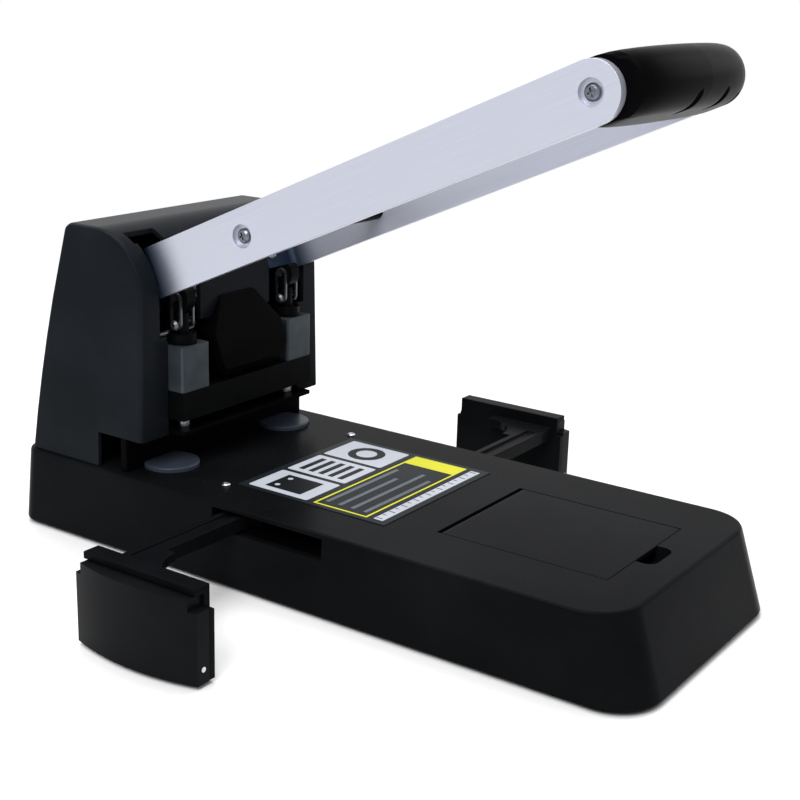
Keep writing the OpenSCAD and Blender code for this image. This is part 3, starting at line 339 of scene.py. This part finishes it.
def printPanel():
    tile, sheet, stack, disc = (panel[key] for key in ("tile", "sheet", "stack", "disc"))
    box, bars, scale = (panel[key] for key in ("box", "bars", "scale"))
    middleX = (filmLow.x + filmHigh.x) / 2
    width, rear, front = filmHigh.x - filmLow.x, filmHigh.y, filmLow.y
    tileWidth, tileLength = (width - tile["sideRoom"]) / 3, tile["length"]
    tileRow = rear - tile["rearRoom"] - tileLength / 2
    pale, mid, dark, yellow = [], [], [], []
    for index in range(3):
        x = middleX + (index - 1) * (tileWidth + tile["gap"])
        pale.append(inkPatch(x, tileRow, tileWidth, tileLength, tile["corner"], 0))
        # a sheet with two holes, a stack of sheets, a round pad
        if index == 0:
            dark.append(inkPatch(x, tileRow, tileWidth * sheet["width"], tileLength * sheet["length"],
                                 sheet["corner"], 1))
            for side in (-1, 1):
                pale.append(inkDot(x + side * sheet["holeSide"], tileRow + sheet["holeRise"],
                                   sheet["holeRadius"], 2))
        elif index == 1:
            for step in range(stack["sheets"]):
                dark.append(inkPatch(x, tileRow + stack["first"] + step * stack["step"],
                                     tileWidth * stack["width"], stack["thick"], stack["corner"], 1))
        else:
            dark.append(inkDot(x, tileRow, disc["outer"], 1))
            pale.append(inkDot(x, tileRow, disc["inner"], 2))
    # yellow frame with grey bars in it, and a yellow band at its right
    boxRear, boxFront = tileRow - tileLength / 2 - box["rearRoom"], front + box["frontRoom"]
    boxRow, boxLength = (boxRear + boxFront) / 2, boxRear - boxFront
    left, right, line = filmLow.x + box["sideRoom"], filmHigh.x - box["sideRoom"], box["line"]
    for y in (boxRear - line / 2, boxFront + line / 2):
        yellow.append(inkPatch((left + right) / 2, y, right - left, line, 0, 0))
    yellow.append(inkPatch(left + line / 2, boxRow, line, boxLength - 2 * line, 0, 0))
    yellow.append(inkPatch(right - box["band"] / 2, boxRow, box["band"], boxLength - 2 * line, 0, 0))
    barStep = (boxLength - bars["room"]) / (len(bars["lengths"]) - 1)
    for row, barLength in enumerate(bars["lengths"]):
        mid.append(inkPatch(left + bars["side"] + barLength / 2, boxFront + bars["first"] + row * barStep,
                            barLength, bars["thick"], bars["corner"], 0))
    # pale scale with marks, every second one longer
    pale.append(inkPatch(middleX, front + scale["middle"], width - scale["sideRoom"], scale["length"],
                         scale["corner"], 0))
    for step in range(-scale["marks"], scale["marks"] + 1):
        mark = scale["markLong"] if step % 2 == 0 else scale["markShort"]
        dark.append(inkPatch(middleX + step * scale["step"], front + scale["markRear"] - mark / 2,
                             scale["markThick"], mark, 0, 1))
    joinInk("panelPaleInk", pale, paleInk)
    joinInk("panelGreyInk", mid, midInk)
    joinInk("panelBlackInk", dark, darkInk)
    joinInk("panelYellowInk", yellow, yellowInk)


printPanel()
print("panel printed")


# studio: floor, world, lamps and camera, in metres and watts

floorPaper = {
    "radius": 9.0, "sides": 96, "dark": "#f4f4f4", "light": "#f6f6f6", "darkAt": 0.3, "lightAt": 0.7,
    "fibreSize": 4, "fibreDetail": 2.0, "roughness": 0.9, "shine": 0.0, "fadeStart": 0.35, "fadeEnd": 1.1,
}
worldLight = {"diffuse": 0.45, "seen": 1.0}
lampAim = Vector((0.0, 0.0, 0.1))
lamps = {
    "keySoftbox": {"place": (-1.3, -0.3, 1.4), "size": 1.2, "power": 24.0},
    "topSoftbox": {"place": (0.2, 0.3, 1.8), "size": 1.6, "power": 26.0},
    "fillSoftbox": {"place": (1.4, -0.8, 0.9), "size": 1.2, "power": 3.5},
}
cameraSetup = {
    "place": (-0.5419, -0.3827, 0.2815), "azimuth": -55.573, "elevation": 16.5975, "roll": 1.6766,
    "lens": 64.545, "sensor": 36.0,
}


def seenDirectly(tree):
    # 1 where the eye, a reflection or a view through glass meets the backdrop
    path = addNode(tree, "ShaderNodeLightPath")
    seen = addNode(tree, "ShaderNodeMath", {"operation": "MAXIMUM"},
                   {0: path.outputs["Is Camera Ray"], 1: path.outputs["Is Glossy Ray"]})
    seen = addNode(tree, "ShaderNodeMath", {"operation": "MAXIMUM"},
                   {0: seen.outputs[0], 1: path.outputs["Is Transmission Ray"]})
    return seen.outputs[0]


def addFloor(settings):
    deselectAll()
    bpy.ops.mesh.primitive_circle_add(vertices=settings["sides"], radius=settings["radius"],
                                      fill_type="NGON", location=(0, 0, cadLow.z))
    floor = bpy.context.object
    floor.name = "studioFloor"
    bpy.ops.object.transform_apply(location=True)
    material, tree, shader, coords = newMaterial("Matt white studio paper")
    fibre = addNode(tree, "ShaderNodeTexNoise",
                    {"Scale": perMetre(settings["fibreSize"]), "Detail": settings["fibreDetail"]},
                    {"Vector": coords})
    tone = rampColours(tree, fibre.outputs["Fac"],
                       [(settings["darkAt"], settings["dark"]), (settings["lightAt"], settings["light"])])
    tree.links.new(tone, shader.inputs["Base Color"])
    shader.inputs["Roughness"].default_value = settings["roughness"]
    shader.inputs["Specular IOR Level"].default_value = settings["shine"]
    # away from the object the paper runs into the white backdrop
    distance = addNode(tree, "ShaderNodeVectorMath", {"operation": "LENGTH"}, {0: coords})
    fade = addNode(tree, "ShaderNodeMapRange",
                   {"interpolation_type": "SMOOTHSTEP", "From Min": settings["fadeStart"],
                    "From Max": settings["fadeEnd"]}, {"Value": distance.outputs["Value"]})
    share = addNode(tree, "ShaderNodeMath", {"operation": "MULTIPLY"},
                    {0: fade.outputs["Result"], 1: seenDirectly(tree)})
    glow = addNode(tree, "ShaderNodeEmission", {"Color": (1, 1, 1, 1), "Strength": 1.0})
    mix = addNode(tree, "ShaderNodeMixShader",
                  links={0: share.outputs[0], 1: shader.outputs[0], 2: glow.outputs[0]})
    tree.links.new(mix.outputs[0], tree.nodes["Material Output"].inputs["Surface"])
    floor.data.materials.append(material)


def addWorld(settings):
    world = bpy.data.worlds.new("studioWorld")
    bpy.context.scene.world = world
    world.use_nodes = True
    tree = world.node_tree
    ground = tree.nodes["Background"]
    ground.inputs["Color"].default_value = (1, 1, 1, 1)
    level = addNode(tree, "ShaderNodeMapRange", {"To Min": settings["diffuse"], "To Max": settings["seen"]},
                    {"Value": seenDirectly(tree)})
    tree.links.new(level.outputs["Result"], ground.inputs["Strength"])


def addLamp(name, settings):
    place = Vector(settings["place"])
    turn = (place - lampAim).to_track_quat("Z", "Y").to_euler()
    deselectAll()
    bpy.ops.object.light_add(type="AREA", location=place, rotation=turn)
    lamp = bpy.context.object
    lamp.name = name
    lamp.data.shape = "DISK"
    lamp.data.size = settings["size"]
    lamp.data.energy = settings["power"]


def addCamera(settings):
    azimuth, elevation, roll = (math.radians(settings[key]) for key in ("azimuth", "elevation", "roll"))
    back = Vector((math.sin(azimuth) * math.cos(elevation), -math.cos(azimuth) * math.cos(elevation),
                   math.sin(elevation)))
    right = (-back).cross(Vector((0, 0, 1))).normalized()
    up = right.cross(-back)
    rightRolled = right * math.cos(roll) + up * math.sin(roll)
    upRolled = up * math.cos(roll) - right * math.sin(roll)
    turn = Matrix((rightRolled, upRolled, back)).transposed().to_euler()
    deselectAll()
    bpy.ops.object.camera_add(location=settings["place"], rotation=turn)
    camera = bpy.context.object
    camera.data.lens = settings["lens"]
    camera.data.sensor_width = settings["sensor"]
    bpy.context.scene.camera = camera


addFloor(floorPaper)
addWorld(worldLight)
for lampName, lampSettings in lamps.items():
    addLamp(lampName, lampSettings)
addCamera(cameraSetup)
bpy.context.scene.view_settings.view_transform = "Standard"
print("studio ready")
